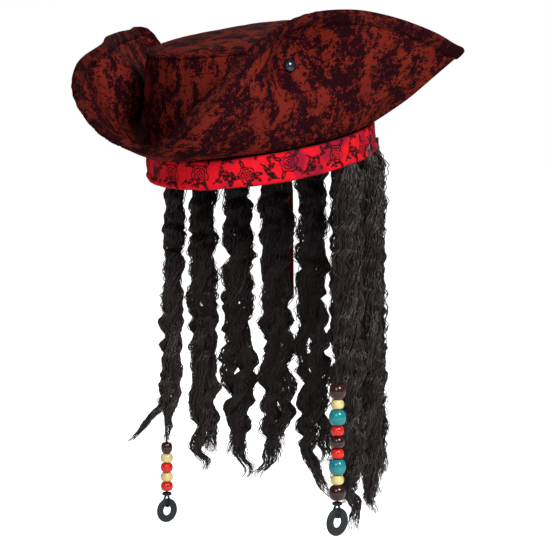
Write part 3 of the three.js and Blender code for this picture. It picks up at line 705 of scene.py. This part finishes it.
turn_at = np.arctan2(co[:, 0] / (HEAD_WIDTH / 2 + BAND_OUT), -co[:, 1] / (HEAD_LENGTH / 2 + BAND_OUT))
around = np.linspace(0, 2 * math.pi, 721)
rim = np.stack([(HEAD_WIDTH / 2 + BAND_OUT) * np.sin(around), (HEAD_LENGTH / 2 + BAND_OUT) * np.cos(around)])
travelled = np.concatenate([[0], np.cumsum(np.hypot(*np.diff(rim)))])
print_on(band, np.interp(turn_at % (2 * math.pi), around, travelled), co[:, 2] + BAND_BOTTOM)
dress(band, red_cotton, nodes=["bandana_band"])

# ---------------------------------------------------------------------------
# Bandana knot and tails
# The kerchief's ends, tied in a flat half knot behind the right ear and hanging free. The tails
# lie on the outside of the lock behind the ear.
KNOT_ANGLE = math.radians(-149)
knot_out = BAND_OUT + 0.3 + GAP
knot_normal = oval_normal(KNOT_ANGLE, knot_out)
knot_middle = oval_point(KNOT_ANGLE, knot_out, -(BAND_TOP + BAND_BOTTOM) / 2) + knot_normal * 6.5
knot_along = UP.cross(knot_normal).normalized()
# The tails wear a darker copy of the same printed cotton: painted shade for the shade that they hang in
# behind the hair.
painted_shade_cotton = printed_cotton("cotton_red_printed_shaded", "7E0C1A", "3C0818", "12050A")


def knot_skin(name, lobes):
    """A wrapped lump of cloth: a rounded shape with folds that run round it."""
    shape = bmesh.new()
    bmesh.ops.create_uvsphere(shape, u_segments=56, v_segments=40, radius=1)
    for v in shape.verts:
        p = v.co.copy()
        fold = 1 + 0.09 * math.sin(p.x * lobes + 3 * p.z) + 0.06 * noise.noise(p * 3.1)
        waist = 1 - 0.26 * math.exp(-((p.x / 0.28) ** 2))
        spot = Vector((p.x * 15, p.y * 6.6 * fold * waist, p.z * 9.6 * fold * waist))
        at = knot_middle + knot_along * spot.x + knot_normal * spot.y + UP * spot.z
        v.co = (TIP_FORWARD @ at) * MM
    bmesh.ops.recalc_face_normals(shape, faces=shape.faces)
    return finished(name, shape)


knot = knot_skin("bandana_knot_cloth", 9)
co = points_of(knot)
print_on(knot, co @ np.array(knot_along) + 7, co[:, 2] + 27)
dress(knot, red_cotton, nodes=["bandana_knot"])


def plumb(point):
    """A point of the tipped hat in the upright frame that the hair and beads hang in."""
    return TIP_FORWARD @ point


tail_level = oval_normal(KNOT_ANGLE, BAND_OUT)
tail_along = UP.cross(tail_level)
TAILS = {"long": (27, 126, -1, 5), "short": (24, 70, 3, 8.8)}  # width, length, shift, out
for tail_name, (width, long, shift, out) in TAILS.items():
    top = plumb(oval_point(KNOT_ANGLE, BAND_OUT, -BAND_BOTTOM)) + tail_level * out - UP
    rows, columns = 60, 28
    tail_loops = []
    for i in range(-4, rows + 1):
        share = i / rows
        half = width / 2 * (0.62 + 0.38 * min(1, max(0, share) * 3))
        middle = top + tail_along * shift * share - UP * long * share
        faces = []
        for side in (1, -1):
            face = []
            for k in range(columns + 1):
                a = (2 * k / columns - 1)
                fold = 1.5 * math.cos(a * 6.5 + share * 1.6 + shift) * (1 - 0.55 * share) * (1 - a * a * 0.4)
                fold += 0.8 * noise.noise(Vector((a * 1.4, share * 3.4, shift)))
                hem = 0.25 if abs(a) > 0.88 or share > 0.97 else 0
                edge = 1 - 0.5 * (abs(a) == 1)
                skew = UP * (2.4 * a * share)
                face.append(middle + tail_along * a * half + skew
                            + tail_level * (fold + side * (0.42 + hem) * edge))
            faces.append(face)
        tail_loops.append(faces[0] + faces[1][::-1])
    tail = lofted(f"bandana_tail_{tail_name}_cloth", tail_loops, False)
    co = points_of(tail)
    print_on(tail, co[:, 2] + 400, co @ np.array(tail_along) + 12)
    # The darker cotton on the tails is painted shade.
    tail.data.materials.append(painted_shade_cotton)
    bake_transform(tail)
    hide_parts(f"bandana_tail_{tail_name}")

# ---------------------------------------------------------------------------
# Hair
# Ten locks of crimped synthetic fibre, sewn to the tape under the bandana. Each lock is three
# ropes of fibre that wind round each other, with loose fibres standing off and curled tips. One
# rope of the beaded lock runs down over the strand's cord, and another curls away to the front.
LOCKS_PER_SIDE, FIRST_LOCK, LAST_LOCK = 5, 86, 169  # degrees round from the front
LOCK_DROP, LOCK_BEND, SWEATBAND_OUT = 1, 34, 1.5  # mm
LOCK_LENGTHS = {"right": [226, 275, 290, 296, 314], "left": [290, 290, 288, 292, 300]}
LOCK_SPLAYS = {"right": [9, 2, 0, 0, 0], "left": [4, 4, 3, 2, 0]}
FIBRES_PER_ROPE, FIBRE_POINTS, ROPES = 82, 104, 3
TUCK = 9  # mm of each fibre that runs up behind the band
TIP_REACH = 62  # mm over which the tips curl and fan out
ROPE_RADIUS, ROPE_THINNING = 9.2, 2.9  # mm at the root, and how much is lost by the tip
ROPE_SPACING, BEADED_SPACING, ROPE_PARTING = 6.0, 4.2, 2.4  # mm from the lock's middle
CRIMP_LENGTHS = (7.2, 9.5)  # mm between two kinks of a fibre
STRAY_SHARE, STRAY_REACH, STRAY_CRIMP = 0.12, 1.24, 1.9
BEAD_LEAD = 9  # mm of the beaded lock that cover its cord
BEADED_CURL, BEADED_CURL_OUT = 15, 25  # mm, the free rope of the beaded lock
FIBRE_RADIUS = 0.43  # mm; real fibre is far finer, and this is as fine as shows

# Drawn modacrylic fibre, black with a brown cast: long narrow highlights on each wave.
hair_fibre, hair_tree, hair_shader = new_material("modacrylic_fibre_black_brown", 0.34,
                                                  Specular_IOR_Level=0.5)
hair_drawn = add_node(hair_tree, "ShaderNodeMapping", None, {
    "Vector": object_place(hair_tree), "Scale": (1, 1, 0.08)})
hair_streaks = grain(hair_tree, hair_drawn.outputs[0], 700, 2)  # unequal dye, 1 mm apart
hair_mix = mixed(hair_tree, hair_streaks, linear("080404"), linear("30211F"))
hair_tree.links.new(hair_mix, hair_shader.inputs["Base Color"])

fibre_section = bpy.data.curves.new("fibre_section", "CURVE")
fibre_section.dimensions = "2D"
corner = fibre_section.splines.new("POLY")
corner.points.add(2)
for point, turn in zip(corner.points, (0, 2.0944, 4.18879)):  # a third of a turn apart
    point.co = (math.cos(turn), math.sin(turn), 0, 1)
corner.use_cyclic_u = True
fibre_profile = bpy.data.objects.new("fibre_section", fibre_section)
scene.collection.objects.link(fibre_profile)


def lock_root(side, number):
    """A lock's root under the band, and the level direction out from the head."""
    step = (LAST_LOCK - FIRST_LOCK) / (LOCKS_PER_SIDE - 1)
    angle = math.radians((1 if side == "left" else -1) * (FIRST_LOCK + step * (number - 1)))
    out = (SWEATBAND_OUT + BAND_OUT) / 2
    return plumb(oval_point(angle, out, -BAND_BOTTOM)) - UP * LOCK_DROP, oval_normal(angle, out)


def hair_lock(side, number, seed):
    """All the fibres of one lock as one mesh, in mm along its drop."""
    draws = np.random.default_rng(seed)
    root, normal = lock_root(side, number)
    flat = np.array(UP.cross(normal))
    root, normal = np.array(root), np.array(normal)
    long, splay = LOCK_LENGTHS[side][number - 1], LOCK_SPLAYS[side][number - 1]
    curve = bpy.data.curves.new("fibres", "CURVE")
    curve.dimensions = "3D"
    curve.bevel_mode = "OBJECT"
    curve.bevel_object = fibre_profile
    curve.use_fill_caps = True
    beaded = side == "right" and number == 1
    body_depth = 0.6 if side == "right" else 0.95  # thickness against width
    twist_length = draws.uniform(110, 150)
    for rope in range(ROPES):
        phase = 2 * math.pi * rope / ROPES + draws.uniform(-0.4, 0.4)
        wave_length, slow_length = draws.uniform(25, 34), draws.uniform(60, 95)
        wave_phase, slow_phase = draws.uniform(0, 2 * math.pi, 2)
        wave_size, drift = draws.uniform(1.2, 2.2), draws.uniform(-4, 4)
        rope_long = long * (1 if rope == 0 else draws.uniform(0.9, 1.0))
        curl, curl_out = draws.uniform(-13, 13), draws.uniform(-3, 6)
        if beaded and rope == 0:
            rope_long, curl, curl_out, drift = long + BEAD_LEAD, 0, 0, 0
        if beaded and rope == 1:
            rope_long, curl, curl_out = long + BEAD_LEAD, BEADED_CURL, BEADED_CURL_OUT
        for fibre in range(FIBRES_PER_ROPE + 1):
            core = fibre == FIBRES_PER_ROPE
            stray = not core and draws.random() < STRAY_SHARE
            end = rope_long * (0.95 if core else 1 - 0.13 * draws.random() ** 2)
            depth = np.linspace(-TUCK, end, FIBRE_POINTS)
            share = np.clip(depth / long, 0, 1)
            low = np.clip(share * 1.6, 0, 1) ** 1.2
            tip = np.clip((depth - rope_long + TIP_REACH) / TIP_REACH, 0, 1) ** 2
            meet = 1 - tip if beaded and rope == 0 else 1
            part = ((BEADED_SPACING if beaded else ROPE_SPACING) + ROPE_PARTING * low) * meet
            turn = phase + 2 * math.pi * depth / twist_length
            beat = 2 * math.pi * depth / wave_length + wave_phase
            beat = beat + 1.1 * np.sin(2 * math.pi * depth / slow_length + slow_phase)
            wave = (1.3 + 0.8 * wave_size * low) * np.sin(beat) * meet
            aside = part * np.cos(turn) + wave + drift * np.clip(share - 0.4, 0, 1) * 2 + curl * tip
            out = 0.42 * part * np.sin(turn) + 0.6 * wave * np.cos(phase)
            out = out + splay * share ** 2 + curl_out * tip
            swell = 0.87 + 0.13 * np.sin(2 * beat + phase)
            radius = (ROPE_RADIUS - ROPE_THINNING * share) * swell
            radius = radius * np.clip((end - depth) / 24, 0.55, 1) ** 0.6
            radius *= np.clip((depth + 16) / 26, 0.55, 1)
            spread = 0 if core else math.sqrt(draws.uniform(0.12, 1)) * (STRAY_REACH if stray else 1)
            around = draws.uniform(0, 2 * math.pi) + depth / 60 * draws.uniform(0.6, 1.6)
            crimp = draws.uniform(0.4, 0.75) * (STRAY_CRIMP if stray else 1)
            kink = np.sin(2 * math.pi * depth / draws.uniform(*CRIMP_LENGTHS) + draws.uniform(0, 6.28))
            kink_side = np.cos(2 * math.pi * depth / draws.uniform(*CRIMP_LENGTHS) + draws.uniform(0, 6.28))
            fan = 1 + 0.5 * tip * (not beaded)
            aside = aside + radius * fan * spread * np.cos(around) + (0 if core else crimp) * kink
            out = out + body_depth * radius * spread * np.sin(around) + (0 if core else crimp) * kink_side
            points = root + np.outer(-depth, (0, 0, 1)) + np.outer(aside, flat) + np.outer(out, normal)
            squeeze = 1 - np.clip((depth + TUCK) / 20, 0, 1)[:, None]
            points -= np.outer(out - 0.6, normal) * squeeze * 0.8
            spline = curve.splines.new("POLY")
            spline.points.add(FIBRE_POINTS - 1)
            flat_points = np.ones((FIBRE_POINTS, 4))
            flat_points[:, :3] = points * MM
            spline.points.foreach_set("co", flat_points.ravel())
            thick = 0.6 * radius * body_depth if core else np.full(FIBRE_POINTS, FIBRE_RADIUS)
            thick = thick * np.clip((end - depth) / 14, 0.3, 1)
            spline.points.foreach_set("radius", thick * MM)
    holder = bpy.data.objects.new("fibres", curve)
    scene.collection.objects.link(holder)
    bpy.context.view_layer.update()
    data = bpy.data.meshes.new_from_object(holder.evaluated_get(bpy.context.evaluated_depsgraph_get()))
    data.name = f"hair_lock_{side}_{number}_fibres"
    bpy.data.objects.remove(holder)
    bpy.data.curves.remove(curve)
    data.shade_smooth()
    piece = bpy.data.objects.new(data.name, data)
    scene.collection.objects.link(piece)
    cover(piece, hair_fibre)
    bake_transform(piece)
    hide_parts(f"hair_lock_{side}_{number}")


for side in ("right", "left"):
    for number in range(1, LOCKS_PER_SIDE + 1):
        hair_lock(side, number, 40 * (side == "left") + number)
bpy.data.objects.remove(fibre_profile)

# ---------------------------------------------------------------------------
# Bead strands
# Moulded acrylic beads on black waxed cord, knotted below the last bead round a flat ring. One
# strand ends the right front lock; the other hangs beside the left front lock.
CORD_DIAMETER, BEAD_HOLE, BEAD_STEP_GAP = 1.8, 2.6, 0.4
BEADS = {  # diameter, length, colour
    "brown_small": (9.6, 9.2, "2C0D08"), "brown": (11.5, 9.4, "33100A"), "brown_large": (13.3, 12, "33100A"),
    "cream": (10.6, 7.6, "F2D48E"), "red": (10.4, 7.8, "E01A0A"), "turquoise": (13.6, 12.4, "0C8A8E"),
}
STRANDS = {  # beads, ring diameter, ring hole, ring facing
    "right": (["brown_small", "cream", "red", "cream", "red"], 20.5, 8.5, 74),
    "left": (["brown_large", "cream", "turquoise", "red", "brown", "red", "turquoise", "cream",
              "brown_large"], 22.5, 9, 76),
}
LEFT_STRAND_DROP, LEFT_STRAND_OUT, LEFT_STRAND_FRONT, STRAND_GAP, CORD_LEAD = 159, 5, 23, 1, 9
LEAD_SLANT = 3  # mm that the left strand's lead runs outwards and forwards
KNOT_DROP, LOOP_REACH, LOOP_DROP = 3.2, 4.4, 13.5

# Moulded acrylic: saturated, slightly cloudy colour under a clear, sharp highlight.
bead_paints = {}
for kind in ("brown", "cream", "red", "turquoise"):
    made, tree, shader = new_material(f"acrylic_bead_{kind}", 0.25, Coat_Weight=0.8, Coat_Roughness=0.03,
                                      Specular_IOR_Level=0.2)
    paint = linear(BEADS[kind][2])[:3]
    body = mixed(tree, grain(tree, object_place(tree), 160, 3),
                 [v * 0.5 for v in paint] + [1], [min(1, v * 1.25) for v in paint] + [1])
    tree.links.new(body, shader.inputs["Base Color"])
    bead_paints[kind] = made

# Waxed cotton: a dull black cord with a slanting lay.
waxed_cord, cord_tree, cord_shader = new_material(
    "waxed_cotton_cord_black", 0.6, Specular_IOR_Level=0.35, Base_Color=linear("141213"))
cord_lay = add_node(cord_tree, "ShaderNodeTexWave", {"bands_direction": "DIAGONAL"}, {
    "Vector": object_place(cord_tree), "Scale": 420, "Distortion": 0.6})
bumped(cord_tree, cord_shader, cord_lay.outputs["Fac"], 0.6, 0.0004)

# Resin cast to look like slate: matt, speckled blue-grey.
slate, slate_tree, slate_shader = new_material("tumbled_slate_resin", 0.55, Specular_IOR_Level=0.4)
slate_grain = grain(slate_tree, object_place(slate_tree), 420, 5)
slate_mix = mixed(slate_tree, slate_grain, linear("0C0F12"), linear("262C31"))
slate_tree.links.new(slate_mix, slate_shader.inputs["Base Color"])
bumped(slate_tree, slate_shader, slate_grain, 0.4, 0.0006)

for side, (kinds, ring_diameter, ring_hole, facing) in STRANDS.items():
    root, normal = lock_root(side, 1)
    if side == "right":
        leave = root - UP * (LOCK_LENGTHS["right"][0] + STRAND_GAP) + normal * LOCK_SPLAYS["right"][0]
        start = leave - UP * CORD_LEAD
    else:
        leave = root - UP * LEFT_STRAND_DROP + normal * (LEFT_STRAND_OUT - LEAD_SLANT)
        leave = leave - Vector((0, LEFT_STRAND_FRONT - LEAD_SLANT, 0))
        start = leave - UP * CORD_LEAD + normal * LEAD_SLANT - Vector((0, LEAD_SLANT, 0))
    turn = math.radians(facing)
    face = Vector((math.sin(turn), -math.cos(turn), 0))
    depth = 0
    for i, kind in enumerate(kinds):
        diameter, tall, _ = BEADS[kind]
        hole, radius, half = (BEAD_HOLE + CORD_DIAMETER) / 2 - 0.3, diameter / 2, tall / 2
        lip = hole + 0.35
        profile = [(hole, -half + 0.35), (lip, -half)]
        profile += [(lip + (radius - lip) * math.sin(a) ** 0.75, -half * math.cos(a))
                    for a in np.linspace(0.32, math.pi - 0.32, 17)]
        profile += [(lip, half), (hole, half - 0.35), (hole, -half + 0.35)]
        middle = start - UP * (depth + half)
        bead = turned(f"bead_{side}_{i + 1}_acrylic", profile, 40, Matrix.Translation(middle * MM))
        name = f"bead_{side}_{i + 1}"
        dress(bead, bead_paints[kind.split("_")[0]], name, [name])
        depth += tall + BEAD_STEP_GAP
    end = start - UP * depth

    inner = CORD_DIAMETER + GAP + 0.5
    knot_profile = [(inner, -1.0), (inner + 0.7, -1.25), (inner + 1.35, -0.8), (inner + 1.5, 0),
                    (inner + 1.35, 0.8), (inner + 0.7, 1.25), (inner, 1.0), (inner, -1.0)]
    collar = turned(f"cord_knot_{side}_wrap", knot_profile, 32,
                    Matrix.Translation((end - UP * (KNOT_DROP - 1)) * MM))
    dress(collar, waxed_cord, f"strand_{side}", [f"cord_knot_{side}"])

    outer, bore, wall = ring_diameter / 2, ring_hole / 2, 3
    ring_middle = end - UP * (LOOP_DROP - CORD_DIAMETER / 2 - GAP + bore)
    ring_middle_radius, ring_half = (outer + bore) / 2, (outer - bore) / 2
    ring_profile = [(ring_middle_radius + ring_half * math.copysign(abs(math.cos(a)) ** 0.55, math.cos(a)),
                     wall / 2 * math.copysign(abs(math.sin(a)) ** 0.7, math.sin(a)))
                    for a in np.linspace(0, 2 * math.pi, 25)]
    ring_axis = face.to_track_quat("Z", "Y").to_matrix().to_4x4()
    ring = turned(f"ring_{side}_slate", ring_profile, 48, Matrix.Translation(ring_middle * MM) @ ring_axis)
    dress(ring, slate, f"ring_{side}", [f"ring_{side}"])

    route = [leave, leave.lerp(start, 0.5), start]
    rows = round((end - start).length / 8)
    route += [start.lerp(end, i / rows) for i in range(1, rows + 1)]
    loop = ((-1.05, KNOT_DROP), (-LOOP_REACH * 0.8, KNOT_DROP + 3.4), (-LOOP_REACH, LOOP_DROP - 4),
            (-LOOP_REACH * 0.66, LOOP_DROP - 1.1), (0, LOOP_DROP), (LOOP_REACH * 0.66, LOOP_DROP - 1.1),
            (LOOP_REACH, LOOP_DROP - 4), (LOOP_REACH * 0.8, KNOT_DROP + 3.4), (1.05, KNOT_DROP),
            (1.05, KNOT_DROP - 1.6))
    route += [end + face * aside - UP * drop for aside, drop in loop]
    cord_curve = bpy.data.curves.new(f"bead_cord_{side}_waxed", "CURVE")
    cord_curve.dimensions = "3D"
    cord_curve.bevel_depth = CORD_DIAMETER / 2 * MM
    cord_curve.bevel_resolution = 3
    cord_curve.use_fill_caps = True
    cord_line = cord_curve.splines.new("NURBS")
    cord_line.points.add(len(route) - 1)
    for point, spot in zip(cord_line.points, route):
        point.co = (*(spot * MM), 1)
    cord_line.use_endpoint_u = True
    cord_line.order_u = 3
    cord_line.resolution_u = 6
    bead_cord = bpy.data.objects.new(cord_curve.name, cord_curve)
    scene.collection.objects.link(bead_cord)
    dress(bead_cord, waxed_cord, f"strand_{side}", [f"bead_cord_{side}"])
